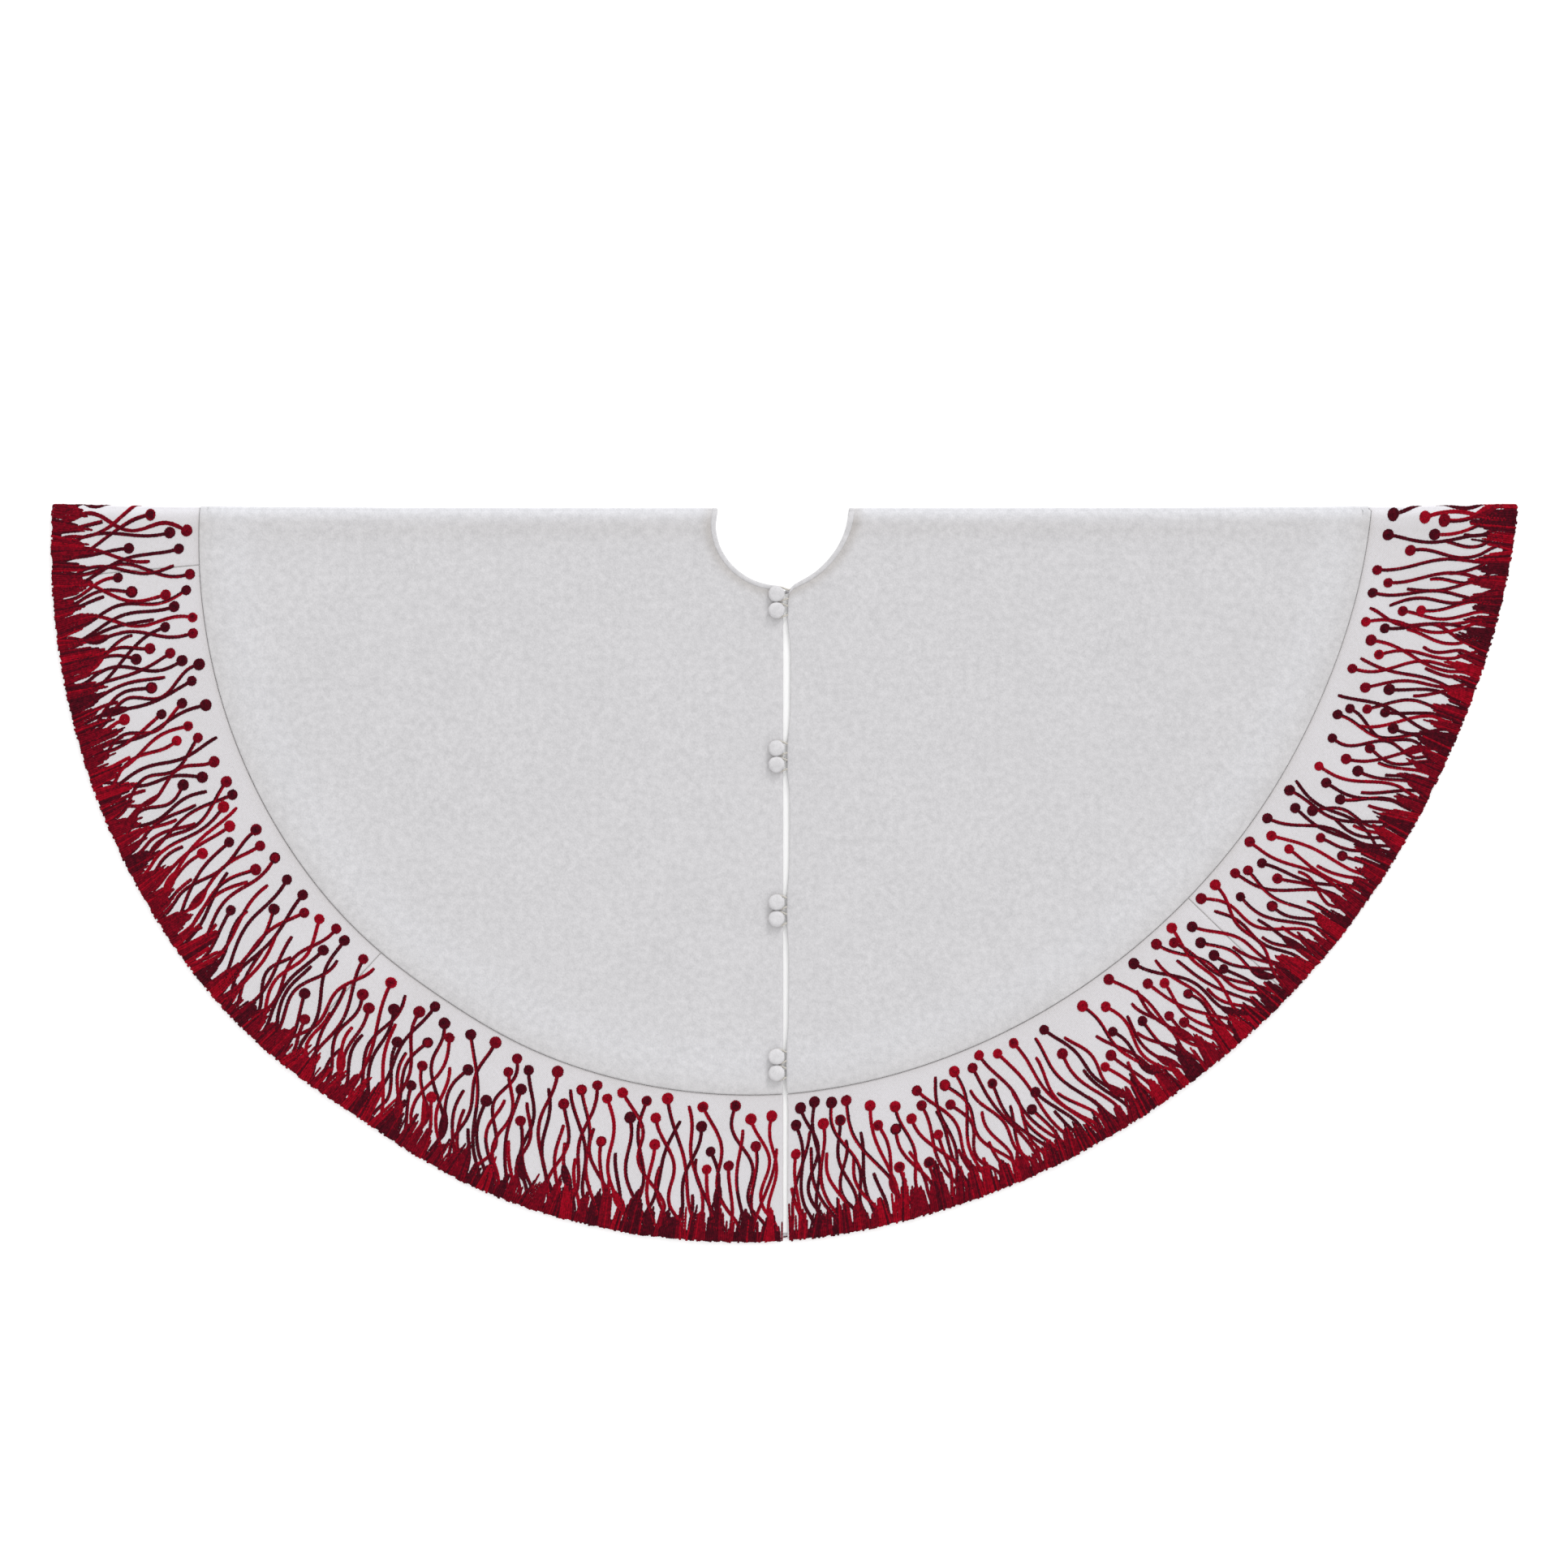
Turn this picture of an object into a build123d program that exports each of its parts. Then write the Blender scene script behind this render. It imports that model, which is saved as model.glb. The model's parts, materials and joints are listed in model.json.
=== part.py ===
"""Round felt tree skirt with a buttoned slit, lying folded in half on a flat surface.

The front left quarter, the front right quarter and the back half are three panels joined by the
cloth of the two folds. The back half lies face down, the front quarters lie on it face up, and both
folds turn about one axis along X, midway between the layers. Units are millimetres, +Z is up, and the
origin is the centre of the trunk opening, on the fold line, at the height of the surface below.
"""
import os

from build123d import *

# Driving dimensions
HEM_RADIUS = 762.0
BAND_WIDTH = 152.0
NECK_RADIUS = 70.0
SLIT_WIDTH = 5.0
FELT_THICKNESS = 2.5
LINING_THICKNESS = 0.8
LAYER_GAP = 0.4
BINDING_WIDTH = 5.0
FACING_WIDTH = 30.0
LINING_INSET = 4.0
EDGE_STITCH_WIDTH = 22.0
EDGE_STITCH_THICKNESS = 1.0
BAND_SEGMENT_ANGLE = 45.0

BUTTON_RADIUS = 8.35
BUTTON_DOME_HEIGHT = 3.3
BUTTON_RIM_HEIGHT = 1.0
COVER_THICKNESS = 0.6
SHELL_THICKNESS = 0.4
SHANK_RADIUS = 1.6
SHANK_CLEARANCE = 0.4
THREAD_RADIUS = 0.5
THREAD_RUNNING_GAP = 0.1
THREAD_SPAN = 5.0
BUTTON_FROM_SLIT = 9.5
FIRST_PAIR_RADIUS = 98.0
PAIR_PITCH = 160.5
PAIR_COUNT = 4
BUTTON_SPACING = 17.0
LOOP_CORD_RADIUS = 1.1
LOOP_HALF_WIDTH = 7.3
LOOP_BEND_RADIUS = 3.0
LOOP_TAIL = 4.0
LOOP_SLOT_WIDTH = 2.8

# Derived heights of the layers, from the surface up
SEAM_RADIUS = HEM_RADIUS - BAND_WIDTH
PANEL_THICKNESS = FELT_THICKNESS + LINING_THICKNESS
FOLD_HEIGHT = PANEL_THICKNESS + LAYER_GAP / 2
TOP = 2 * FOLD_HEIGHT
FRONT_LINING = (FOLD_HEIGHT + LAYER_GAP / 2, FOLD_HEIGHT + LAYER_GAP / 2 + LINING_THICKNESS)
FRONT_FELT = (FRONT_LINING[1], TOP)
FRONT_STITCHES = (TOP - EDGE_STITCH_THICKNESS, TOP)
FRONT_BAND = (FRONT_LINING[1], TOP - EDGE_STITCH_THICKNESS)
FRONT_WHOLE = (FRONT_LINING[0], TOP)

# Room beside the fold axis that lets the panels pass the bent cloth
FOLD_MARGIN = FOLD_HEIGHT + 0.5
FAR = HEM_RADIUS + 10

# Derived places of the buttons
LOOP_HEIGHT = TOP + 0.2 + LOOP_CORD_RADIUS
TILT_HEIGHT = TOP + 1.3
BUTTON_UNDERSIDE = TOP + 3.3
BUTTON_EDGE = BUTTON_UNDERSIDE + BUTTON_RIM_HEIGHT
BUTTON_TOP = BUTTON_EDGE + BUTTON_DOME_HEIGHT
LIP_THICKNESS = 0.5
PAIR_RADII = [FIRST_PAIR_RADIUS + pair * PAIR_PITCH for pair in range(PAIR_COUNT)]
BUTTON_PLACES = [-(radius + side * BUTTON_SPACING / 2) for radius in PAIR_RADII for side in (-1, 1)]


def mirrored(heights):
    """The heights of the matching layer on the other side of the fold axis."""
    low, high = heights
    return TOP - high, TOP - low


def block(x, y, z):
    """Box between two values on each axis."""
    size = [high - low for low, high in (x, y, z)]
    middle = [(high + low) / 2 for low, high in (x, y, z)]
    return Pos(*middle) * Box(*size)


def region(x_low, x_high):
    """The room that one panel may fill, from the slit or hem edge and up to the fold."""
    return block((x_low, x_high), (-FAR, -FOLD_MARGIN), (-1, TOP + 1))


LEFT_REGION = region(-FAR, -SLIT_WIDTH / 2)
RIGHT_REGION = region(SLIT_WIDTH / 2, FAR)
BACK_REGION = region(-FAR, FAR)


def sector(start, end, inner, outer, heights):
    """Flat piece of a ring, between two angles from +X and two heights."""
    low, high = heights
    outer_arc = CenterArc((0, 0), outer, start, end - start)
    inner_arc = CenterArc((0, 0), inner, start, end - start)
    sides = [Line(outer_arc @ 1, inner_arc @ 1), Line(inner_arc @ 0, outer_arc @ 0)]
    outline = make_face([outer_arc, sides[0], inner_arc, sides[1]])
    return Pos(0, 0, low) * extrude(outline, high - low)


def fold_crease(side, near, far, inner, outer):
    """Cloth bent round the fold axis, with a short leg that meets the back half."""
    length = far - near
    middle = side * (near + far) / 2
    span = (middle - length / 2, middle + length / 2)
    tube = Cylinder(outer, length) - Cylinder(inner, length)
    bend = Pos(middle, 0, FOLD_HEIGHT) * Rot(0, 90, 0) * tube
    bend &= block(span, (0, FAR), (-1, TOP + 1))
    leg = block(span, (-FOLD_MARGIN, 0), (FOLD_HEIGHT - outer, FOLD_HEIGHT - inner))
    return bend + leg


def cloth_panel(name, start, end, room, face_up):
    """Felt, neck binding, band segments, lining and edge stitches of one panel."""
    layer = (lambda heights: heights) if face_up else mirrored
    neck = NECK_RADIUS + BINDING_WIDTH
    nodes = {
        f"{name}_felt_panel": sector(start, end, neck, SEAM_RADIUS, layer(FRONT_FELT)) & room,
        f"{name}_neck_binding": sector(start, end, NECK_RADIUS, neck, layer(FRONT_WHOLE)) & room,
        f"{name}_lining": sector(start, end, neck, HEM_RADIUS - LINING_INSET, layer(FRONT_LINING)) & room,
    }
    for number in range(round((end - start) / BAND_SEGMENT_ANGLE)):
        first = start + number * BAND_SEGMENT_ANGLE
        segment = sector(first, first + BAND_SEGMENT_ANGLE, SEAM_RADIUS, HEM_RADIUS, layer(FRONT_BAND))
        nodes[f"{name}_border_{number + 1}"] = segment & room
    stitched_from = HEM_RADIUS - EDGE_STITCH_WIDTH
    stitches = sector(start, end, stitched_from, HEM_RADIUS, layer(FRONT_STITCHES)) & room
    nodes[f"{name}_edge_embroidery"] = stitches
    return nodes


def slit_facing(lining, side):
    """Split a lining into the facing strip along the slit and the rest."""
    edge = side * SLIT_WIDTH / 2
    strip = (edge, edge + side * FACING_WIDTH)
    room = block((min(strip), max(strip)), (-FAR, 0), (-1, TOP + 1))
    return lining & room, lining - room


def back_half():
    """The back panel with the bent cloth of both folds."""
    nodes = cloth_panel("back", 180, 360, BACK_REGION, face_up=False)
    inner = LAYER_GAP / 2
    band_outer = FOLD_HEIGHT - EDGE_STITCH_THICKNESS
    stitched_from = HEM_RADIUS - EDGE_STITCH_WIDTH
    for side, word in ((-1, "left"), (1, "right")):
        nodes[f"{word}_fold_felt"] = fold_crease(side, NECK_RADIUS, SEAM_RADIUS, inner, FOLD_HEIGHT)
        nodes[f"{word}_fold_border"] = fold_crease(side, SEAM_RADIUS, HEM_RADIUS, inner, band_outer)
        bent_stitches = fold_crease(side, stitched_from, HEM_RADIUS, band_outer, FOLD_HEIGHT)
        nodes["back_edge_embroidery"] += bent_stitches
    return nodes


def button_threads():
    """One thread staple for each button, from the felt through the shank's eye and back."""
    reach = THREAD_SPAN / 2
    profile = [(-reach, TOP), (-reach, TILT_HEIGHT), (reach, TILT_HEIGHT), (reach, TOP)]
    staples = []
    for place in BUTTON_PLACES:
        points = [(-BUTTON_FROM_SLIT, place + y, z) for y, z in profile]
        route = FilletPolyline(*points, radius=1.6 * THREAD_RADIUS)
        section = Plane(route @ 0, z_dir=route % 0) * Circle(THREAD_RADIUS)
        staples.append(sweep(section, path=route))
    return Compound(children=[solid for staple in staples for solid in staple.solids()])


def front_left():
    """The front left panel, with the facing and the threads that hold the buttons."""
    nodes = cloth_panel("front_left", 180, 270, LEFT_REGION, face_up=True)
    facing, lining = slit_facing(nodes["front_left_lining"], -1)
    nodes["front_left_facing"] = facing
    nodes["front_left_lining"] = lining
    nodes["button_threads"] = button_threads()
    return nodes


def front_right():
    """The front right panel, with a slot in its felt for each leg of each button loop."""
    nodes = cloth_panel("front_right", 270, 360, RIGHT_REGION, face_up=True)
    facing, lining = slit_facing(nodes["front_right_lining"], 1)
    nodes["front_right_facing"] = facing
    nodes["front_right_lining"] = lining
    slot_depth = LOOP_TAIL + 0.3
    slot_x = (SLIT_WIDTH / 2 - 1, SLIT_WIDTH / 2 + slot_depth)
    for place in BUTTON_PLACES:
        for leg in (-1, 1):
            middle = place + leg * LOOP_HALF_WIDTH
            slot_y = (middle - LOOP_SLOT_WIDTH / 2, middle + LOOP_SLOT_WIDTH / 2)
            nodes["front_right_felt_panel"] -= block(slot_x, slot_y, (FRONT_FELT[0], TOP + 1))
    return nodes


def button_loop(place):
    """Cord loop from the right panel's edge, over the slit and round the button's shank."""
    edge = SLIT_WIDTH / 2
    tail_height = FRONT_FELT[0] + LOOP_CORD_RADIUS + 0.05
    closed_end = -BUTTON_FROM_SLIT - LOOP_HALF_WIDTH
    profile = [(edge + LOOP_TAIL, tail_height), (edge, tail_height), (1.3 - edge, LOOP_HEIGHT)]
    profile.append((closed_end, LOOP_HEIGHT))
    out_leg = [(x, place + LOOP_HALF_WIDTH, z) for x, z in profile]
    back_leg = [(x, place - LOOP_HALF_WIDTH, z) for x, z in reversed(profile)]
    round_end = LOOP_HALF_WIDTH - 0.1
    bends = [LOOP_BEND_RADIUS, LOOP_BEND_RADIUS, round_end]
    route = FilletPolyline(*out_leg, *back_leg, radius=bends + bends[::-1])
    section = Plane(route @ 0, z_dir=route % 0) * Circle(LOOP_CORD_RADIUS)
    return sweep(section, path=route)


def dome(radius, low, edge, top):
    """Upright cylinder from low to edge, closed by a shallow spherical cap up to top."""
    rise = top - edge
    sphere_radius = (radius**2 + rise**2) / (2 * rise)
    cap = Pos(0, 0, top - sphere_radius) * Sphere(sphere_radius)
    body = Pos(0, 0, (low + top) / 2) * Cylinder(radius, top - low)
    return body & cap


def disc(radius, low, high):
    """Upright cylinder between two heights."""
    return Pos(0, 0, (low + high) / 2) * Cylinder(radius, high - low)


def button(number, place):
    """Covered button: cloth cover, metal shell, and back plate with a drilled shank."""
    lip_top = BUTTON_UNDERSIDE + LIP_THICKNESS
    plate_radius = BUTTON_RADIUS - COVER_THICKNESS - SHELL_THICKNESS
    boss_radius = plate_radius - COVER_THICKNESS

    inside = dome(BUTTON_RADIUS - COVER_THICKNESS, lip_top, BUTTON_EDGE, BUTTON_TOP - COVER_THICKNESS)
    cover = dome(BUTTON_RADIUS, BUTTON_UNDERSIDE, BUTTON_EDGE, BUTTON_TOP) - inside
    cover -= disc(boss_radius, BUTTON_UNDERSIDE, lip_top)

    hollow_top = BUTTON_TOP - COVER_THICKNESS - SHELL_THICKNESS
    shell = inside - dome(plate_radius, lip_top, BUTTON_EDGE, hollow_top)

    back = disc(plate_radius, lip_top, lip_top + LIP_THICKNESS)
    back += disc(boss_radius, BUTTON_UNDERSIDE, lip_top)
    back += disc(SHANK_RADIUS, TOP + SHANK_CLEARANCE, BUTTON_UNDERSIDE)
    eye = Rot(90, 0, 0) * Cylinder(THREAD_RADIUS + THREAD_RUNNING_GAP, 4 * SHANK_RADIUS)
    back -= Pos(0, 0, TILT_HEIGHT) * eye

    where = Pos(-BUTTON_FROM_SLIT, place, 0)
    pieces = {"cover": cover, "shell": shell, "back": back}
    return {f"button_{number}_{word}": where * piece for word, piece in pieces.items()}


def whole_skirt():
    """Every node of the skirt, by name."""
    nodes = {**back_half(), **front_left(), **front_right()}
    for number, place in enumerate(BUTTON_PLACES, start=1):
        nodes[f"button_loop_{number}"] = button_loop(place)
        nodes.update(button(number, place))
    return nodes


os.makedirs("parts", exist_ok=True)
for node_name, node_shape in whole_skirt().items():
    export_step(node_shape, f"parts/{node_name}.step")
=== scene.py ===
"""Visual model of a felt tree skirt, folded in half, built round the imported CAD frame.

Cloth is laid out flat, as on the opened skirt, and then folded onto the CAD layers. A place on the
opened skirt is a radius and a turn: the turn is 0 at the slit, a quarter at the left fold, a half at
the back centre, three quarters at the right fold, and a whole turn at the slit again.
"""
import json
import math
from collections import defaultdict

import bpy
import numpy as np
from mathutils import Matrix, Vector


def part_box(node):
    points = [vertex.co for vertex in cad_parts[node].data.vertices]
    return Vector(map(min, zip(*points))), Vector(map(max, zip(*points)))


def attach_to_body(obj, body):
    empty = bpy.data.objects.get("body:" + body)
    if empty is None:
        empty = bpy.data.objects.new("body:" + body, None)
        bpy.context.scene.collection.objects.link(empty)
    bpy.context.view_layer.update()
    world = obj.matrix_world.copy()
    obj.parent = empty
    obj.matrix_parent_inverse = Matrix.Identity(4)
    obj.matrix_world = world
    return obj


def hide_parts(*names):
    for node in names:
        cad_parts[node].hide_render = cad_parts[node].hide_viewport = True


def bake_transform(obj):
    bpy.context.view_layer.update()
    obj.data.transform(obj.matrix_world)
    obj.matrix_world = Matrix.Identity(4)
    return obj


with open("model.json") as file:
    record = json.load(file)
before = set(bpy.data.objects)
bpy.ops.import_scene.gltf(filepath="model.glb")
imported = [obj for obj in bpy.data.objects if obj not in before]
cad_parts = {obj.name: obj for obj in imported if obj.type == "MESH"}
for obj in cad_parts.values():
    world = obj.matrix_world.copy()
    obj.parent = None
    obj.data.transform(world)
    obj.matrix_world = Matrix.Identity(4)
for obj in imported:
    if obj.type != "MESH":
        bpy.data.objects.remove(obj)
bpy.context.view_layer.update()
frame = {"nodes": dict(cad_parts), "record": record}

MM = 0.001
QUARTER, HALF, WHOLE = math.pi / 2, math.pi, 2 * math.pi

# ------------------------------------------------ sizes from the frame
JOINTS = {joint["name"]: joint for joint in frame["record"]["behaviour"]["joints"]}
FOLD_Z = JOINTS["fold_left"]["pos_m"][2]
NECK_R = -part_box("left_fold_felt")[1].x
SEAM_R = -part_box("back_felt_panel")[0].y
HEM_R = -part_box("back_border_2")[0].y
BINDING_WIDTH = -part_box("back_neck_binding")[0].y - NECK_R
LINING_R = -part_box("back_lining")[0].y
FACING_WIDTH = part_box("front_right_facing")[1].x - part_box("front_right_facing")[0].x


def layer(node):
    """How far a layer's middle lies from the fold axis, and its thickness."""
    low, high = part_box(node)
    return abs((low.z + high.z) / 2 - FOLD_Z), high.z - low.z


FELT = layer("front_left_felt_panel")
BAND = layer("front_left_border_1")
LINING = layer("front_left_lining")
BINDING = layer("front_left_neck_binding")
BAND_FACE = BAND[0] + BAND[1] / 2

# ------------------------------------------------ shape of the laid-out skirt
# The outline: wider or drawn in halfway to the folds, dented at angles from the slit in degrees
LEFT_BULGE, RIGHT_DRAW = 0.028, -0.0435
LEFT_DENT_DEPTH, LEFT_DENT_AT, LEFT_DENT_SPAN = 8 * MM, 35, 8
RIGHT_DENT_DEPTH, RIGHT_DENT_AT, RIGHT_DENT_SPAN = 4.5 * MM, 71, 13
BACK_INSET = 2.5 * MM
# The neck edge: deeper towards the slit and at the back, with round corners at the slit
NECK_REACH = 60 * MM
NECK_LEFT_DEEPER, NECK_LEFT_AT_FOLD = 8.7 * MM, 0.5 * MM
NECK_RIGHT_DEEPER, NECK_RIGHT_AT_FOLD = 13 * MM, 4.5 * MM
BACK_NECK_DEEPER = 6.0 * MM
SLIT_CORNER, LEFT_CORNER_ROUND, RIGHT_CORNER_ROUND = 7.0 * MM, 1.6 * MM, 3.4 * MM
# The fold: its line sags and rises, and the cloth beside it rolls and waves
FOLD_SAG, FOLD_RISE, FOLD_FADE = 3.0 * MM, 4.5 * MM, 80 * MM
WAVE_HEIGHT, WAVE_FADE = 2.2 * MM, 90 * MM
ROLL_HEIGHT, ROLL_REACH = 2.0 * MM, 10 * MM
FOLD_EASE = 20 * MM
# The slit: its width, its left edge's place and how far from it the cloth is shifted
SLIT_AT_HEM, SLIT_AT_NECK = 4.5 * MM, 8.5 * MM
LEFT_OF_CENTRE, SLIT_PULL = 2.6 * MM, 30 * MM
BUTTON_PULL, BUTTON_PULL_FLAT, BUTTON_PULL_FADE = 0.42, 10 * MM, 22 * MM
BUTTON_Y = [sum(corner.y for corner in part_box(f"button_{k}_cover")) / 2 for k in range(1, 9)]
PAIRS_R = [-(BUTTON_Y[k] + BUTTON_Y[k + 1]) / 2 for k in (0, 2, 4, 6)]


def flat(radius, turn):
    """Nominal place on the opened skirt, slit towards -Y."""
    return -radius * np.sin(turn), -radius * np.cos(turn)


def hump(distance, width):
    """Bell curve: 1 at no distance, fading out over about twice the width."""
    return np.exp(-((distance / width) ** 2))


def slit_gap(radius):
    """Opening between the slit edges, drawn together at the pairs of buttons."""
    gap = SLIT_AT_HEM + (SLIT_AT_NECK - SLIT_AT_HEM) * np.clip(1 - radius / HEM_R, 0, 1) ** 1.2
    for pair in PAIRS_R:
        away = np.maximum(np.abs(radius - pair) - BUTTON_PULL_FLAT, 0)
        gap = gap * (1 - BUTTON_PULL * hump(away, BUTTON_PULL_FADE))
    return gap


def shaped(x, y):
    """Moves nominal places to where the real cloth lies: bulges, neck curve and slit edges."""
    radius = np.hypot(x, y) + 1e-9
    turn = np.degrees(np.arctan2(np.abs(x), np.abs(y)))
    double_sine = 2 * np.abs(x * y) / radius**2
    factor = 1 + np.where(x < 0, LEFT_BULGE, RIGHT_DRAW) * double_sine
    outward = (radius / HEM_R) ** 4
    left_dent = LEFT_DENT_DEPTH * hump(turn - LEFT_DENT_AT, LEFT_DENT_SPAN)
    right_dent = RIGHT_DENT_DEPTH * hump(turn - RIGHT_DENT_AT, RIGHT_DENT_SPAN)
    dent = np.where(x < 0, left_dent, right_dent) * outward
    from_neck = np.exp(-np.maximum(radius - NECK_R, 0) / NECK_REACH)
    share = turn / 90
    neck_left = NECK_LEFT_DEEPER * (1 - share**2.6) + NECK_LEFT_AT_FOLD
    neck_right = NECK_RIGHT_DEEPER * (1 - share) ** 1.6 - NECK_RIGHT_AT_FOLD
    neck = np.where(x < 0, neck_left, neck_right)
    corner_round = np.where(x <= 0, LEFT_CORNER_ROUND, RIGHT_CORNER_ROUND)
    corner = SLIT_CORNER * np.exp(-np.abs(x) / corner_round)
    neck = neck + np.where(y < 0, corner, BACK_NECK_DEEPER * (y / radius) ** 2)
    neck = neck * from_neck
    inset = np.where(y > 0, BACK_INSET * np.clip((radius - NECK_R) / SEAM_R, 0, 1), 0)
    moved = (radius * factor + neck - dent - inset) / radius
    x, y = x * moved, y * moved
    edge = np.where(x <= 0, -LEFT_OF_CENTRE, slit_gap(radius) - LEFT_OF_CENTRE)
    shift = edge * np.exp(-np.abs(x) / SLIT_PULL)
    return np.where(y < 0, x + shift, x), y


def waves(x, y):
    """Lift of the top layers: gentle waves away from the slit and the fold, and a roll at the fold."""
    a = np.sin(11.0 * x + 5.0 * y + 0.6) * np.sin(4.0 * x - 9.0 * y + 1.9)
    b = np.sin(23.0 * x - 13.0 * y + 2.2) * np.sin(17.0 * y + 9.0 * x)
    lift = WAVE_HEIGHT * np.clip(0.5 + 0.38 * a + 0.22 * b, 0, 1)
    for distance in (np.abs(x), np.maximum(-y, 0)):
        fade = np.clip(distance / WAVE_FADE, 0, 1)
        lift = lift * fade * fade * (3 - 2 * fade)
    share = np.maximum(-y, 0) / ROLL_REACH
    return lift + ROLL_HEIGHT * share * np.exp(1 - share)


def fold_line(x, distance):
    """The folded edge is not quite straight: it sags at the neck and rises at the hem."""
    along = np.minimum(np.abs(x) / HEM_R, 1)
    return (FOLD_RISE * along**4 - FOLD_SAG) * np.exp(-distance / FOLD_FADE)


def bent(x, y, reach, bend):
    """Folds shaped places; bend is 0 on the front, pi on the back and between them in the fold."""
    lift = np.where(bend == 0, waves(x, y), 0)
    depth = -np.abs(y) + reach * np.sin(bend) + fold_line(x, np.abs(y))
    height = FOLD_Z + (reach + lift) * np.cos(bend)
    return np.stack([x, depth, height], axis=-1)


def wrapped(x, y, reach):
    """Folds shaped places that run across the fold without a break, as yarn does."""
    bend_length = HALF / 2 * BAND_FACE
    distance = np.abs(y)
    eased = distance * (1 + bend_length / FOLD_EASE)
    along = np.where(distance < FOLD_EASE, eased, distance + bend_length)
    angle = np.minimum(along, bend_length) / BAND_FACE
    beyond = np.maximum(along - bend_length, 0)
    depth = reach * np.cos(angle) - beyond + fold_line(x, distance)
    side = np.where(y > 0, -1, 1)
    lift = np.where(y < 0, waves(x, -beyond), 0)
    height = FOLD_Z + side * (reach * np.sin(angle) + lift)
    return np.stack([x, depth, height], axis=-1)


# ------------------------------------------------ materials
def tune(node, values):
    """Sets a node's inputs by name."""
    for name, value in values.items():
        node.inputs[name].default_value = value


class Shade:
    """One node material, built a step at a time."""

    def __init__(self, name, roughness, sheen=0.0, metallic=0.0, tint=(1, 1, 1)):
        self.material = bpy.data.materials.new(name)
        self.material.use_nodes = True
        self.nodes = self.material.node_tree.nodes
        self.shader = self.nodes["Principled BSDF"]
        tune(self.shader, {"Roughness": roughness, "Metallic": metallic})
        tune(self.shader, {"Specular IOR Level": 0.15 if metallic == 0 else 0.5})
        tune(self.shader, {"Sheen Weight": sheen, "Sheen Roughness": 0.5, "Sheen Tint": (*tint, 1)})
        self.place = self.nodes.new("ShaderNodeTexCoord").outputs["Object"]
        self.height = None

    def link(self, a, b):
        self.material.node_tree.links.new(a, b)

    def texture(self, kind, values, turn, stretch=(1, 1, 1)):
        """A pattern on the object's own axes, turned and stretched."""
        mapping = self.nodes.new("ShaderNodeMapping")
        tune(mapping, {"Scale": stretch, "Rotation": (0, 0, turn)})
        node = self.nodes.new(kind)
        tune(node, values)
        self.link(self.place, mapping.inputs["Vector"])
        self.link(mapping.outputs["Vector"], node.inputs["Vector"])
        return node.outputs["Fac"]

    def noise(self, size, detail=4.0, stretch=(1, 1, 1), turn=0.0):
        """Cloudy pattern with features of about the given size."""
        values = {"Scale": 1 / size, "Detail": detail}
        return self.texture("ShaderNodeTexNoise", values, turn, stretch)

    def ribs(self, period, turn, distortion=1.5):
        """Parallel ridges at an angle, slightly uneven."""
        values = {"Scale": WHOLE / (20 * period), "Distortion": distortion}
        values.update({"Detail": 1.0, "Detail Scale": 1.2})
        return self.texture("ShaderNodeTexWave", values, turn)

    def mixed(self, a, b, weight=0.5):
        """Weighted mean of two patterns."""
        mix = self.nodes.new("ShaderNodeMix")
        tune(mix, {"Factor": weight})
        self.link(a, mix.inputs["A"])
        self.link(b, mix.inputs["B"])
        return mix.outputs["Result"]

    def colour(self, pattern, stops, crease=None):
        """Base colour from a pattern, by a ramp of (position, colour), with the crease colour
        multiplied in as painted shade where the piece's crease attribute is above 0, and lightened as
        painted highlight where it is below 0.
        """
        ramp = self.nodes.new("ShaderNodeValToRGB")
        elements = ramp.color_ramp.elements
        while len(elements) < len(stops):
            elements.new(0.5)
        for element, (position, value) in zip(elements, stops):
            element.position = position
            element.color = (*value, 1)
        self.link(pattern, ramp.inputs["Fac"])
        result = ramp.outputs["Color"]
        # painted shading: above 0 multiplies in the painted shade colour, below 0 lightens as painted
        # highlight
        if crease is not None:
            depth = self.nodes.new("ShaderNodeAttribute")
            depth.attribute_name = "crease"
            mix = self.nodes.new("ShaderNodeMix")
            mix.data_type = "RGBA"
            mix.blend_type = "MULTIPLY"
            mix.clamp_factor = False
            self.link(depth.outputs["Fac"], mix.inputs["Factor"])
            self.link(result, mix.inputs[6])
            mix.inputs[7].default_value = (*crease, 1)
            result = mix.outputs[2]
        self.link(result, self.shader.inputs["Base Color"])

    def bump(self, pattern, depth):
        """Raises a pattern on top of the bumps so far."""
        node = self.nodes.new("ShaderNodeBump")
        tune(node, {"Distance": depth})
        self.link(pattern, node.inputs["Height"])
        if self.height is not None:
            self.link(self.height, node.inputs["Normal"])
        self.height = node.outputs["Normal"]
        self.link(self.height, self.shader.inputs["Normal"])


def grey(value, warm=0.0):
    """Near-neutral colour; warm is above 0 for cream and below 0 for a cool white."""
    return value * (1 + warm), value, value * (1 - 1.6 * warm)


def felt_material(name, level):
    """Brushed wool felt: soft mottling, matted fibres and a light nap."""
    shade = Shade(name, roughness=0.95, sheen=0.12)
    clouds = shade.noise(7 * MM, detail=5)
    fibres = shade.noise(1.3 * MM, detail=6, stretch=(1, 0.75, 1), turn=0.5)
    broad = shade.noise(55 * MM, detail=3)
    both = shade.mixed(shade.mixed(clouds, fibres, 0.5), broad, 0.09)
    low = (level * 0.87, level * 0.86, level * 0.88)
    high = (level * 1.08, level * 1.065, level * 1.09)
    # crease colour: painted shade, multiplied in by the crease attribute, which lightens as painted
    # highlight below 0
    shade.colour(both, [(0.36, low), (0.64, high)], crease=(0.8, 0.775, 0.74))
    shade.bump(clouds, 0.3 * MM)
    shade.bump(fibres, 0.3 * MM)
    return shade.material


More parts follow.
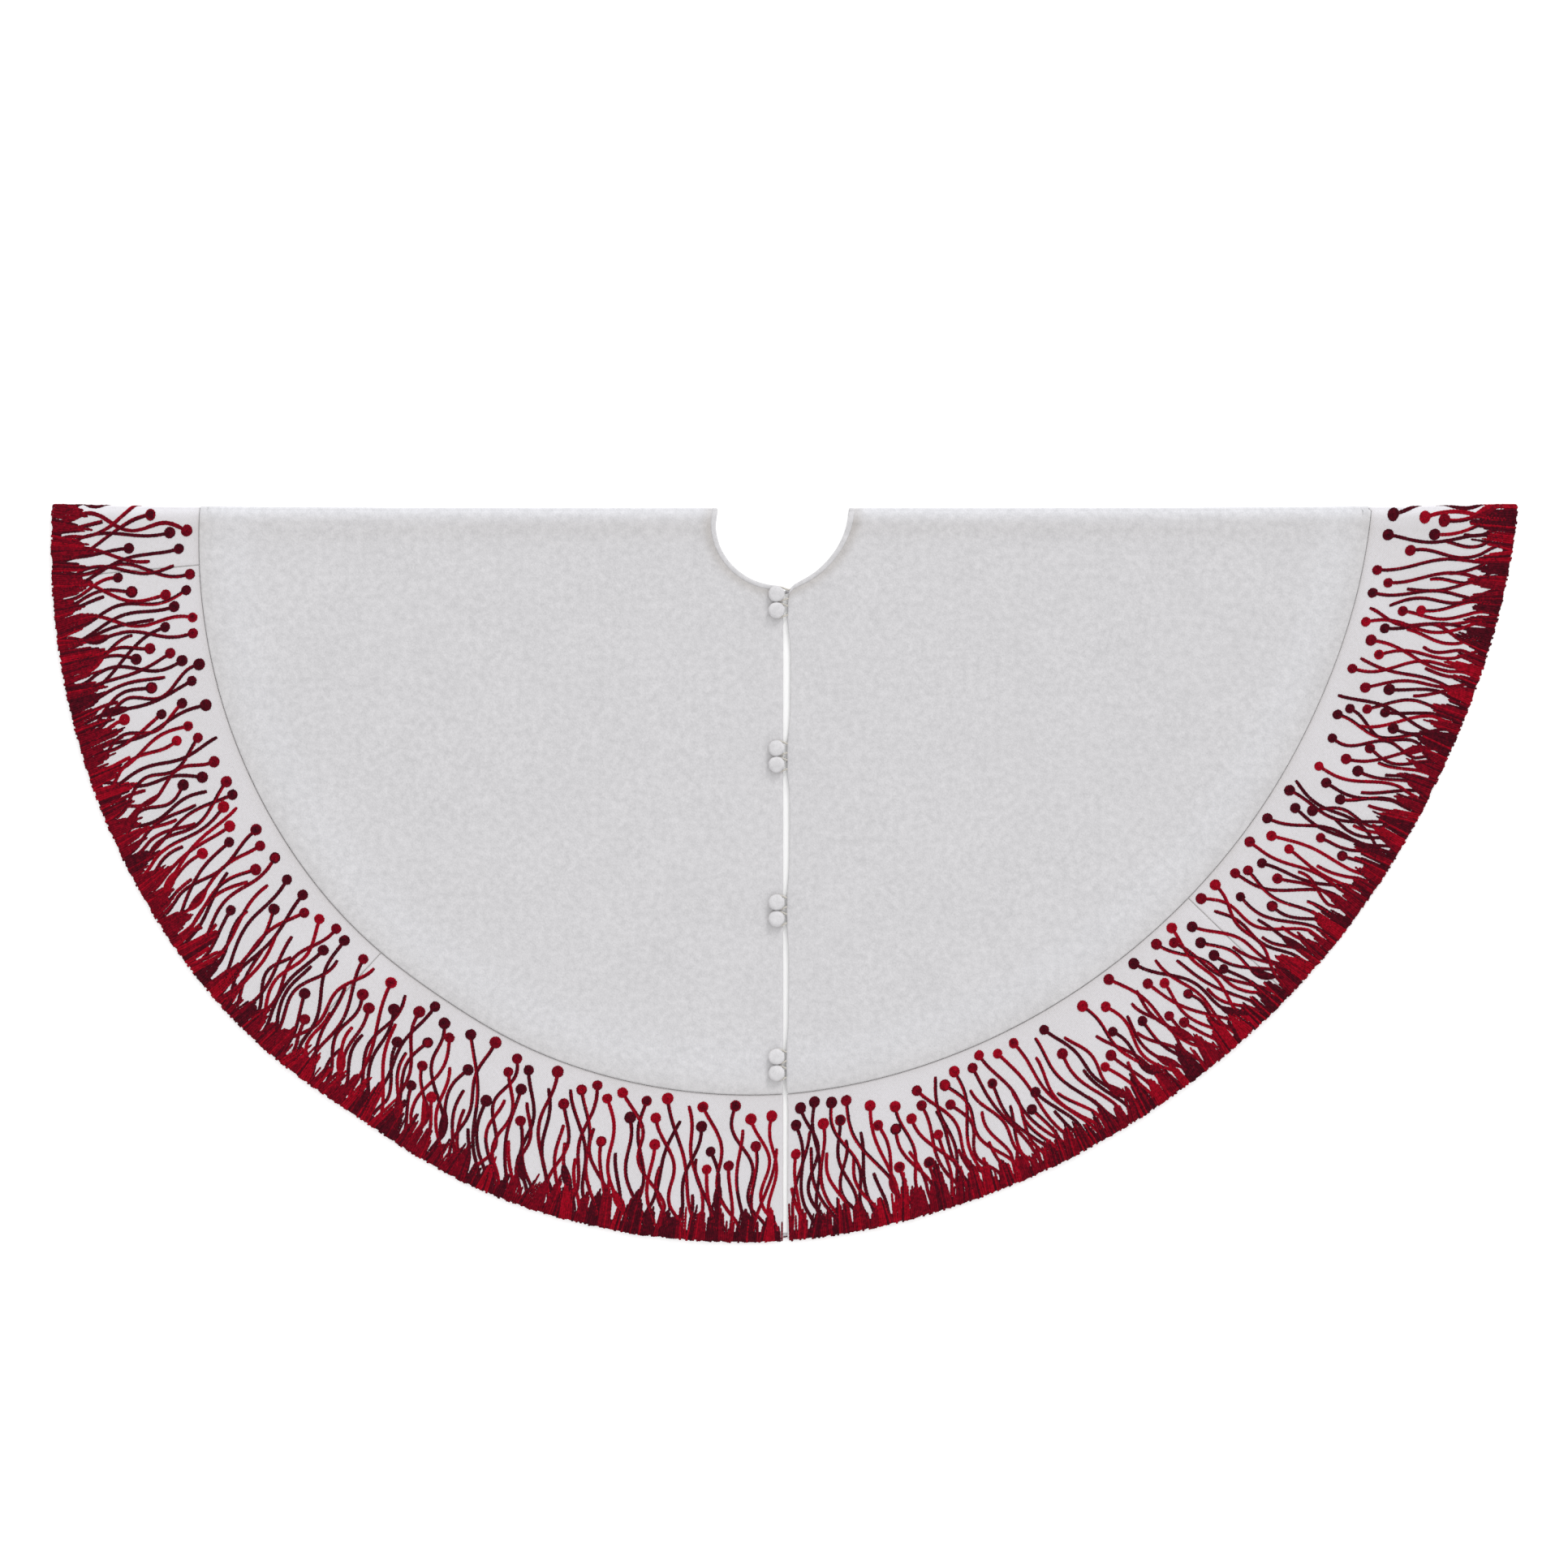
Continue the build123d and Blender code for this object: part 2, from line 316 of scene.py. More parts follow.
def twill_material(name, level):
    """Fine diagonal twill with slightly uneven threads."""
    shade = Shade(name, roughness=0.85, sheen=0.1)
    twill = shade.ribs(1.7 * MM, 0.7, distortion=2.5)
    threads = shade.ribs(1.1 * MM, -0.95, distortion=3.5)
    weave = shade.mixed(twill, threads, 0.4)
    slubs = shade.noise(1.6 * MM, detail=3, stretch=(1, 0.5, 1), turn=0.7)
    stains = shade.noise(70 * MM, detail=4)
    tone = shade.mixed(shade.mixed(weave, slubs, 0.6), stains, 0.3)
    low = (level * 0.885, level * 0.855, level * 0.865)
    high = (level * 1.02, level * 0.995, level * 1.035)
    # crease colour: painted shade in the seam and join grooves, with painted highlight and shade along
    # the fold
    shade.colour(tone, [(0.3, low), (0.65, high)], crease=(0.76, 0.735, 0.7))
    shade.bump(weave, 0.22 * MM)
    shade.bump(slubs, 0.35 * MM)
    return shade.material


def cotton_material(name, level, warm=0.0, crease=None):
    """Plain-woven cotton; if a crease colour is given, painted shade is multiplied in where the
    piece's crease attribute says so.
    """
    shade = Shade(name, roughness=0.8)
    weave = shade.mixed(shade.ribs(0.9 * MM, 0.0), shade.ribs(0.9 * MM, QUARTER))
    slubs = shade.noise(9 * MM, detail=4, stretch=(1, 0.4, 1))
    tone = shade.mixed(weave, slubs, 0.5)
    stops = [(0.3, grey(level * 0.95, warm)), (0.7, grey(level, warm))]
    shade.colour(tone, stops, crease)
    shade.bump(weave, 0.08 * MM)
    return shade.material


def yarn_material(name, dark, base, light):
    """Wool yarn: twisted fibres with lighter and darker strands."""
    shade = Shade(name, roughness=0.9, sheen=0.02, tint=(1.0, 0.2, 0.25))
    tune(shade.shader, {"Specular IOR Level": 0.08})
    strands = shade.noise(3.0 * MM, detail=3)
    fibres = shade.noise(0.7 * MM, detail=4)
    tone = shade.mixed(strands, fibres, 0.45)
    shade.colour(tone, [(0.38, dark), (0.5, base), (0.64, light)])
    shade.bump(fibres, 0.35 * MM)
    return shade.material


def metal_material(name):
    """Plain pressed metal with a faint grain."""
    shade = Shade(name, roughness=0.38, metallic=1.0)
    grain = shade.noise(0.4 * MM, detail=3, stretch=(1, 8, 1))
    shade.colour(grain, [(0.3, (0.52, 0.52, 0.53)), (0.7, (0.62, 0.62, 0.63))])
    shade.bump(grain, 0.02 * MM)
    return shade.material


YARN_TONES = {
    "bright": ((0.14, 0.001, 0.006), (0.25, 0.001, 0.009), (0.37, 0.002, 0.016)),
    "mid": ((0.07, 0.001, 0.006), (0.14, 0.001, 0.008), (0.24, 0.002, 0.012)),
    "dark": ((0.028, 0.002, 0.005), (0.055, 0.002, 0.007), (0.11, 0.002, 0.01)),
}
COLOURS = tuple(YARN_TONES)
MATERIALS = {
    "felt_white": felt_material("felt", 0.575),
    "border_cloth": twill_material("border_twill", 0.635),
    # the crease colour darkens the lining everywhere but behind the slit, which stays lighter as
    # painted highlight
    "lining_cotton": cotton_material("lining_cotton", 0.97, crease=(0.84, 0.835, 0.83)),
    **{f"yarn_{name}": yarn_material(f"yarn_{name}", *YARN_TONES[name]) for name in COLOURS},
    "button_felt": felt_material("button_felt", 0.62),
    "button_metal": metal_material("button_metal"),
    "cord_cream": cotton_material("loop_cord", 0.56, 0.05),
    "thread": cotton_material("sewing_thread", 0.62, 0.02),
}


# ------------------------------------------------ meshes
def new_object(name, data):
    """A new object in the scene."""
    thing = bpy.data.objects.new(name, data)
    bpy.context.scene.collection.objects.link(thing)
    return thing


def build(name, slot, points, faces):
    """Smooth mesh object from an array of points and a list of face arrays."""
    mesh = bpy.data.meshes.new(name)
    points = np.asarray(points, dtype=np.float32).reshape(-1, 3)
    mesh.vertices.add(len(points))
    mesh.vertices.foreach_set("co", points.ravel())
    sizes = np.concatenate([np.full(len(group), group.shape[1]) for group in faces])
    corners = np.concatenate([group.ravel() for group in faces])
    mesh.loops.add(len(corners))
    mesh.loops.foreach_set("vertex_index", corners.astype(np.int32))
    mesh.polygons.add(len(sizes))
    mesh.polygons.foreach_set("loop_start", (np.cumsum(sizes) - sizes).astype(np.int32))
    mesh.polygons.foreach_set("use_smooth", np.ones(len(sizes), dtype=bool))
    mesh.update(calc_edges=True)
    mesh.materials.append(MATERIALS[slot])
    piece = new_object(name, mesh)
    return piece


def grid_faces(rows, columns, closed=False):
    """Quads of a grid of points, row by row; closed joins the last column to the first."""
    index = np.arange(rows * columns).reshape(rows, columns)
    after = np.roll(index, -1, axis=1)
    here = index if closed else index[:, :-1]
    right = after if closed else after[:, :-1]
    quads = [here[:-1], right[:-1], right[1:], here[1:]]
    return np.stack(quads, axis=-1).reshape(-1, 4)


class Yarn:
    """Collects tubes of yarn by panel and colour, and makes one piece of each."""

    def __init__(self):
        self.points = defaultdict(list)
        self.faces = defaultdict(list)
        self.caps = defaultdict(list)
        self.count = defaultdict(int)

    def add(self, key, rings):
        """One closed tube from rings of points, shaped (rings, points in a ring, 3)."""
        number, sides, _ = rings.shape
        start = self.count[key]
        self.points[key].append(rings.reshape(-1, 3))
        self.faces[key].append(grid_faces(number, sides, closed=True) + start)
        last = start + (number - 1) * sides
        around = np.arange(sides)
        self.caps[key, sides].append([around + start, around[::-1] + last])
        self.count[key] += number * sides

    def pieces(self, prefix):
        """The collected pieces, each fixed to its panel, or baked in place where it crosses a fold."""
        made = []
        for key in sorted(self.points):
            panel, colour = key
            faces = [np.concatenate(self.faces[key])]
            for (owner, _), caps in self.caps.items():
                if owner == key:
                    faces.append(np.concatenate(caps))
            points = np.concatenate(self.points[key])
            piece = build(f"{prefix}_{panel}_{colour}", f"yarn_{colour}", points, faces)
            attach(piece, panel)
            made.append(piece)
        return made


def attach(piece, panel):
    """Fixes a piece to a panel's body; a piece on a fold is only baked in place, not fixed to any
    body.
    """
    if panel == "left_fold":
        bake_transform(piece)
    elif panel == "right_fold":
        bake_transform(piece)
    else:
        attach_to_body(piece, panel)


# ------------------------------------------------ cloth
EDGE_STEPS = np.array([0.0, 0.35, 0.9, 2.0, 4.0]) * MM
EDGE_BODY = np.array([0.3, 0.66, 0.9, 1.0, 1.0])
BENDS = np.radians(np.arange(12, 180, 12))
NEAR_FOLD = np.radians([-0.9, -0.45, -0.15, 0.15, 0.45, 0.9])


def spread(start, end, step):
    """Even values from start to end."""
    return np.linspace(start, end, max(2, round(abs(end - start) / step) + 1))


def edged(inner, outer, step):
    """Radii with fine steps at both edges, and the share of the full thickness at each."""
    middle = spread(inner + 8 * MM, outer - 8 * MM, step)
    radii = np.concatenate([inner + EDGE_STEPS, middle, outer - EDGE_STEPS[::-1]])
    body = np.concatenate([EDGE_BODY, np.ones(len(middle)), EDGE_BODY[::-1]])
    return radii, body


def columns(start, end, step, slit_offset=0.0):
    """Columns of a panel: turn, offset from the slit's line, bend angle and share of thickness."""
    found = []
    side = -1 if start < QUARTER else 1
    near = np.concatenate([QUARTER + NEAR_FOLD, 3 * QUARTER + NEAR_FOLD])
    near = near[(near > start) & (near < end)]
    for turn in np.sort(np.concatenate([spread(start, end, step), near])):
        from_slit = min(turn, WHOLE - turn)
        if from_slit < 1e-6:
            steps = zip(EDGE_STEPS, EDGE_BODY)
            found += [(turn, slit_offset + offset, body) for offset, body in steps]
        else:
            ease = math.exp(-from_slit / math.radians(9))
            found.append((turn, (slit_offset + EDGE_STEPS[-1]) * ease, 1.0))
    if end > WHOLE - 1e-6:
        found[-len(EDGE_STEPS):] = found[-len(EDGE_STEPS):][::-1]
    rows = []
    for turn, offset, body in found:
        front = turn < QUARTER + 1e-9 or turn > 3 * QUARTER - 1e-9
        rows.append((turn, side * offset, 0.0 if front else HALF, body))
    for fold in (QUARTER, 3 * QUARTER):
        if start < fold - 1e-9 < end and fold + 1e-9 < end:
            before = sum(1 for row in rows if row[0] < fold - 1e-9)
            rows = [row for row in rows if abs(row[0] - fold) > 1e-9]
            bends = [0.0, *BENDS, HALF]
            bends = bends if fold == QUARTER else bends[::-1]
            rows[before:before] = [(fold, 0.0, bend, 1.0) for bend in bends]
    return np.array(rows)


def face_relief(radii, outer):
    """Lift and share of thickness of the face felt: flat beside the neck, puffed at the seam."""
    beside_neck = hump(radii - NECK_R - 6.5 * MM, 5 * MM)
    at_seam = hump(outer - 6 * MM - radii, 13 * MM)
    return 0.6 * MM * at_seam, 1 - 0.4 * beside_neck


def cloth(name, slot, radii, body, table, made, panel, lift=0.0):
    """A sheet of cloth on a polar grid; made is its distance from the fold axis and thickness."""
    turn, offset, bend, share = (table[:, k][None, :] for k in range(4))
    x, y = flat(radii[:, None], turn)
    x = x + offset
    x, y = shaped(x, y)
    reach, thickness = np.reshape(made[0], (-1, 1)), made[1]
    weights = body[:, None] * share
    front = (bend == 0) * np.clip((np.abs(y) - 5 * MM) / (60 * MM), 0, 1)
    raised = reach + np.reshape(lift, (-1, 1)) * front
    points = bent(x, y, raised, np.broadcast_to(bend, x.shape))
    piece = build(name, slot, points, [grid_faces(*x.shape)])
    group = piece.vertex_groups.new(name="body")
    rounded = np.round(weights, 2).ravel()
    for weight in np.unique(rounded):
        group.add(np.flatnonzero(rounded == weight).tolist(), float(weight), "REPLACE")
    solid = piece.modifiers.new("thickness", "SOLIDIFY")
    solid.thickness = thickness
    solid.offset = 0
    solid.vertex_group = "body"
    attach(piece, panel)
    return piece


def add_painted_shading(piece, tone):
    """Stores, as the crease attribute, how much painted shade (above 0) or painted highlight (below 0)
    each point gets, for the material.
    """
    attribute = piece.data.attributes.new("crease", "FLOAT", "POINT")
    attribute.data.foreach_set("value", np.asarray(tone, dtype=np.float32).ravel())


def fold_painted_light(radii, turn):
    """Painted highlight along the fold and a strip of painted shade beside it, by radius and turn."""
    distance = np.abs(flat(radii[:, None], turn[None, :])[1])
    # painted shade in a strip about 19 mm from the fold, painted highlight on the fold itself
    return 0.18 * hump(distance - 19 * MM, 11 * MM) - 0.6 * hump(distance, 8 * MM)


def felt_painted_shading(radii, outer, turn):
    """Painted shading of the felt: painted shade in the dip beside the neck and where it tucks in at
    the seam, a painted highlight on the puff further in, and the fold's painted light.
    """
    # painted shade in the dip beside the neck binding
    beside_neck = hump(radii - NECK_R - 7 * MM, 7 * MM)
    # painted shade where the felt tucks in at the seam
    tucked = 0.22 * hump(outer - radii, 12 * MM)
    # painted highlight on the puffed ring inside the seam
    puffed = 0.14 * hump(outer - 38 * MM - radii, 20 * MM)
    return (0.8 * beside_neck + tucked - puffed)[:, None] + fold_painted_light(radii, turn)


def lining_painted_shading(radii, turn):
    """Painted shading of the lining: none along the line behind the slit, which stays lighter there as
    a painted highlight.
    """
    distance = np.abs(flat(radii[:, None], turn[None, :])[0])
    return 1 - hump(distance, 18 * MM)


def declare(inner, outer, start, end, nodes):
    """Works out the size and area of the flat cut a cloth piece was made from, though nothing uses
    them, and hides the CAD nodes that it stands for.
    """
    turn = end - start
    if turn > QUARTER + 0.01:
        size = (outer, 2 * outer)
    else:
        size = (outer - inner * math.cos(turn / 2), 2 * outer * math.sin(turn / 2))
    area = min((outer**2 - inner**2) * turn / 2, size[0] * size[1])
    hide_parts(*nodes)


SIDES = {"left": (0.0, HALF), "right": (HALF, WHOLE)}
LINING_JOIN = math.radians(192)
PANEL_INNER_R = NECK_R + BINDING_WIDTH - 0.4 * MM


def felt_circle():
    """Face felt of both sides, each running from its slit edge over the fold to the back centre."""
    inner, outer = PANEL_INNER_R, SEAM_R - 0.2 * MM
    radii, body = edged(inner, outer, 9 * MM)
    extra = np.concatenate([spread(inner + 5 * MM, inner + 26 * MM, 2 * MM),
                            spread(outer - 30 * MM, outer - 6 * MM, 2 * MM)])
    order = np.argsort(np.concatenate([radii, extra]))
    body = np.concatenate([body, np.ones(len(extra))])[order]
    radii = np.concatenate([radii, extra])[order]
    for side, (start, end) in SIDES.items():
        table = columns(start, end, math.radians(1.5))
        lift, share = face_relief(radii, outer)
        panel = f"{side}_fold"
        piece = cloth(f"felt_{side}", "felt_white", radii, body * share, table, FELT, panel, lift)
        # painted shade and highlight on the felt, for its material
        add_painted_shading(piece, felt_painted_shading(radii, outer, table[:, 0]))
        nodes = [f"front_{side}_felt_panel", f"{side}_fold_felt", "back_felt_panel"]
        declare(inner, outer, start, end, nodes)


def facing(side, slit, radii, body):
    """Strip of lining cotton beside the slit, on one front panel."""
    sign = -1 if side == "left" else 1
    across = np.array([*EDGE_STEPS, *spread(8 * MM, FACING_WIDTH - 6 * MM, 6 * MM)])
    across = np.concatenate([across, FACING_WIDTH - EDGE_STEPS[::-1]])
    share = np.ones(len(across))
    share[: len(EDGE_BODY)] = EDGE_BODY
    share[-len(EDGE_BODY):] = EDGE_BODY[::-1]
    rows = [(slit, sign * offset, 0.0, part) for offset, part in zip(across, share)]
    strip = np.array(rows if side == "left" else rows[::-1])
    panel = f"front_{side}"
    piece = cloth(f"facing_{side}", "lining_cotton", radii, body, strip, LINING, panel)
    # painted shade on the facing, lighter behind the slit as painted highlight
    add_painted_shading(piece, lining_painted_shading(radii, strip[:, 0]))
    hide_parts(f"{panel}_facing")


def linings():
    """White inner linings, with the facing strips beside the slit."""
    radii, body = edged(PANEL_INNER_R, LINING_R, 12 * MM)
    halves = {"left": (0.0, LINING_JOIN), "right": (LINING_JOIN, WHOLE)}
    for side, (start, end) in halves.items():
        table = columns(start, end, math.radians(2.5), slit_offset=FACING_WIDTH - EDGE_STEPS[-1])
        piece = cloth(f"lining_{side}", "lining_cotton", radii, body, table, LINING, f"{side}_fold")
        # painted shade on the lining, lighter behind the slit as painted highlight
        add_painted_shading(piece, lining_painted_shading(radii, table[:, 0]))
        nodes = [f"front_{side}_lining", "back_lining"]
        declare(PANEL_INNER_R, LINING_R, start, end, nodes)
        facing(side, start if side == "left" else end, radii, body)


JOINS = np.radians([0, 42.3, 84.5, 129.5, 175, 221, 268.2, 314.1, 360])
BAND_NODES = [
    ["front_left_border_2"], ["front_left_border_1"], ["left_fold_border", "back_border_1"],
    ["back_border_2"], ["back_border_3"], ["back_border_4"], ["right_fold_border"],
    ["front_right_border_1", "front_right_border_2"],
]
BAND_PANELS = [
    "front_left", "front_left", "left_fold", "back_half", "back_half", "back_half",
    "right_fold", "front_right",
]


def band():
    """Border band in eight sewn segments; the butted, rounded ends make the joins."""
    inner, outer = SEAM_R + 0.35 * MM, HEM_R - 0.6 * MM
    radii, body = edged(inner, outer, 10 * MM)
    seam_turn = (EDGE_STEPS + 0.35 * MM) / SEAM_R
    for number, (start, end) in enumerate(zip(JOINS[:-1], JOINS[1:])):
        table = columns(start, end, math.radians(1.25))
        for at, sign in ((start, 1), (end, -1)):
            if 1e-6 < at < WHOLE - 1e-6:
                table = join_edge(table, at, sign, seam_turn)
        name = f"border_segment_{number + 1}"
        panel = BAND_PANELS[number]
        piece = cloth(name, "border_cloth", radii, body, table, BAND, panel)
        # painted shade in the groove at the felt seam and along the thinned joins, plus the fold's
        # painted highlight and shade
        seam_shade = np.exp(-(radii - inner) / (3 * MM))[:, None]
        tone = np.maximum(0.5 * seam_shade, 0.9 * (1 - table[None, :, 3]))
        add_painted_shading(piece, tone + fold_painted_light(radii, table[:, 0]))
        declare(inner, outer, start, end, BAND_NODES[number])


def join_edge(table, at, sign, steps):
    """Thins the cloth towards a radial join, so that two segments meet in a shallow groove."""
    bend = table[np.argmin(np.abs(table[:, 0] - at)), 2]
    rows = [(at + sign * step, 0.0, bend, body) for step, body in zip(steps, EDGE_BODY)]
    far = np.abs(table[:, 0] - at) > steps[-1] * 1.5
    kept = table[far]
    if sign > 0:
        return np.concatenate([np.array(rows), kept])
    return np.concatenate([kept, np.array(rows[::-1])])


BINDING_SECTION = np.array([
    [5.5, 0.7, 0.5], [5.1, 1.1, 1], [4.2, 1.35, 1], [3.2, 1.45, 1], [2.2, 1.35, 1], [1.3, 1.1, 1],
    [0.7, 0.75, 1], [0.4, 0.2, 1], [0.4, -0.3, 1], [0.6, -0.75, 1], [1.2, -1.1, 1], [2.1, -1.2, 1],
    [3.2, -1.2, 1], [4.3, -1.2, 0.9], [5.1, -1.15, 0.4],
])


def neck_binding():
    """Strip folded round the edge of the trunk opening, over the fold on both sides."""
    outward, rise, body = BINDING_SECTION.T
    made = (BINDING[0] + np.minimum(rise, 1.2) * MM, 0.75 * MM)
    lift = np.maximum(rise - 1.2, 0) * MM
    for side, (start, end) in SIDES.items():
        table = columns(start, end, math.radians(3))
        radii = NECK_R + outward * MM
        panel = f"{side}_fold"
        name = f"neck_binding_{side}"
        piece = cloth(name, "felt_white", radii, body, table, made, panel, lift)
        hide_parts(f"front_{side}_neck_binding", "back_neck_binding")


# ------------------------------------------------ embroidery
rng = np.random.default_rng(27)
STITCH = 3.4 * MM
SINK = 0.25 * MM
STEM_WIDTH, STEM_FOOT = 3.8 * MM, 9 * MM
FRONT_RELIEF, BACK_RELIEF = 1.2, 0.85
ACROSS = np.array([-0.5, -0.4, 0.0, 0.4, 0.5])
UPWARD = np.array([0.0, 0.62, 1.0, 0.62, 0.0])


def panel_of(x, y):
    """The panel that holds a tube, or the fold that it crosses."""
    margin = FOLD_EASE * 0.25
    side = "left" if x.mean() < 0 else "right"
    if y.max() < -margin:
        return f"front_{side}"
    if y.min() > margin:
        return "back_half"
    return f"{side}_fold"


def distances(path):
    """How far along a path each of its points lies."""
    return np.concatenate([[0], np.cumsum(np.linalg.norm(np.diff(path, axis=0), axis=1))])


def resampled(path, step):
    """Points at even steps along a path."""
    lengths = distances(path)
    number = max(3, round(lengths[-1] / step) + 1)
    at = np.linspace(0, lengths[-1], number)
    return np.stack([np.interp(at, lengths, path[:, k]) for k in range(path.shape[1])], axis=1)


def sideways(path):
    """Unit vectors ahead along a path and across it, in the cloth's plane."""
    ahead = np.gradient(path, axis=0)
    ahead = ahead / (np.linalg.norm(ahead, axis=1)[:, None] + 1e-12)
    across = np.stack([ahead[:, 1], -ahead[:, 0], np.zeros(len(path))], axis=1)
    return ahead, across / (np.linalg.norm(across, axis=1)[:, None] + 1e-12)


def laid(rings):
    """Carries tube points from the opened, flat skirt onto the folded one."""
    x, y, up = rings[..., 0], rings[..., 1], rings[..., 2]
    relief = np.where(y < 0, FRONT_RELIEF, BACK_RELIEF)
    x, y = shaped(x, y)
    points = wrapped(x, y, BAND_FACE + np.where(up > 0, up * relief, up))
    points[..., 2] = np.maximum(points[..., 2], 0)
    return points


def tube(yarn, colour, path, width, height, across=None, ends=(1, 1), phase=0, step=STITCH / 2):
    """One plump strand of stitches along a path of (x, y, up) points on the opened skirt."""
    path = resampled(path, step)
    ahead, flatwise = sideways(path)
    across = flatwise if across is None else np.broadcast_to(across, path.shape)
    upward = np.cross(across, ahead)
    plump = 1 + 0.13 * np.where((np.arange(len(path)) + phase) % 2, 1, -1)
    plump = plump * (1 + 0.07 * rng.standard_normal(len(path)))
    plump[0] *= ends[0]
    plump[-1] *= ends[1]
    wide = (width * plump)[:, None, None]
    tall = (height * plump)[:, None, None]
    rings = path[:, None, :] + wide * ACROSS[None, :, None] * across[:, None, :]
    rings = rings + (tall * UPWARD[None, :, None] - SINK) * upward[:, None, :]
    yarn.add((panel_of(rings[..., 0], rings[..., 1]), colour), laid(rings))


def paired(yarn, colours, path):
    """A row of chain stitch: two strands side by side, their stitches half a step apart."""
    _, across = sideways(path)
    to_end = np.cumsum(np.linalg.norm(np.diff(path, axis=0, append=path[-1:]), axis=1)[::-1])[::-1]
    apart = np.sqrt(np.clip(to_end / (1.5 * MM), 0.3, 1))[:, None]
    for number, colour in enumerate(colours):
        strand = path + (number - 0.5) * STEM_WIDTH * 0.47 * apart * across
        cut = int(len(path) * rng.uniform(0.3, 0.7)) if rng.random() < 0.3 else len(path)
        other = COLOURS[rng.integers(3)]
        wide, tall = STEM_WIDTH * 0.56, 0.95 * MM
        ends = (0.6, 0.85 if cut == len(path) else 1)
        tube(yarn, colour, strand[:cut], wide, tall, ends=ends, phase=number)
        if cut < len(path) - 2:
            tube(yarn, other, strand[cut - 1:], wide, tall, ends=(1, 0.85), phase=number)


def stem_path(root, length, lean, sway, wavelength, phase):
    """A wavy line from the hem inwards, as (x, y, up) points."""
    inward = np.linspace(0, length, 36)
    grow = np.clip((inward + 8 * MM) / (30 * MM), 0, 1)
    wave = np.sin(WHOLE * inward / wavelength + phase) - math.sin(phase)
    side = lean * inward + grow * sway * wave
    turn = root + side / (HEM_R - inward * 0.5)
    x, y = flat(HEM_R - STEM_FOOT - inward, turn)
    return np.stack([x, y, np.zeros_like(x)], axis=1)


def berry(yarn, colours, centre, radius):
    """A round berry: an outer ring of stitches closed by a spiral, raised in the middle."""
    pitch = 1.7 * MM
    rounds = (radius - 0.35 * pitch) / pitch + 0.5
    angle = np.linspace(0, WHOLE * rounds, int(22 * rounds)) + rng.uniform(0, WHOLE)
    travelled = (angle - angle[0]) / WHOLE
    out = radius - pitch / 2 - pitch * np.maximum(travelled - 0.75, 0)
    out = np.maximum(out, 0.15 * pitch)
    up = 0.3 * MM * (1 - (out / radius) ** 2)
    path = np.stack([centre[0] + out * np.cos(angle), centre[1] - out * np.sin(angle), up], axis=1)
    cut = np.searchsorted(travelled, 1.05)
    tube(yarn, colours[0], path[: cut + 1], pitch * 1.45, 0.95 * MM, step=1.05 * MM)
    tube(yarn, colours[1], path[cut:], pitch * 1.45, 1.0 * MM, step=1.05 * MM)


def bud(yarn, colours, path, start, length):
    """A lens of five strands swelling out of a stem."""
    part = resampled(path, 1 * MM)
    part = part[int(start / MM): int((start + length) / MM)]
    if len(part) < 8:
        return
    _, across = sideways(part)
    swell = np.sin(np.linspace(0, math.pi, len(part))) ** 0.75
    for strand in range(-2, 3):
        colour = colours[int(strand > 0)]
        lifted = part + (strand * 1.85 * MM * swell)[:, None] * across
        lifted[:, 2] += 0.15 * MM * (2 - abs(strand)) * swell
        tube(yarn, colour, lifted, 2.2 * MM, 0.95 * MM, ends=(0.5, 0.5), phase=strand)


SLIT_CLEAR, SEAM_CLEAR = 4 * MM, 8 * MM


def on_band(path):
    """True for a line that stays clear of the slit and of the felt's seam."""
    x, y = path[:, 0], path[:, 1]
    near_slit = (y < 0) & (np.abs(x) < SLIT_CLEAR)
    crosses = x.min() < 0 < x.max() and y.max() < 0
    return not near_slit.any() and not crosses and np.hypot(x, y).min() > SEAM_R + SEAM_CLEAR


STEM_LENGTHS_MM = [(100, 130), (68, 100), (36, 68)]
LENGTH_SHARES = [0.42, 0.34, 0.24]


def candidate(root):
    """A random stem near the given turn, leaning much as its neighbours do."""
    along = root * HEM_R
    length = rng.uniform(*STEM_LENGTHS_MM[rng.choice(3, p=LENGTH_SHARES)]) * MM
    lean = 0.08 * math.sin(along / 0.21) + rng.normal(0.0, 0.15)
    sway = rng.uniform(3.0, 8.0) * MM * min(1, length / (75 * MM))
    phase = along / 0.045 + rng.normal(0, 1.7)
    wavelength = rng.uniform(70, 120) * MM
    return length, stem_path(root, length, lean, sway, wavelength, phase)


CANDIDATES = 30
TIPS_APART = 19 * MM
STEMS_APART = 4 * MM
TIP_TO_STEM = 10 * MM
STEM_TO_BERRY = 9 * MM
BERRY_TO_STEM = 6.5 * MM
BERRIES_APART = 13.5 * MM


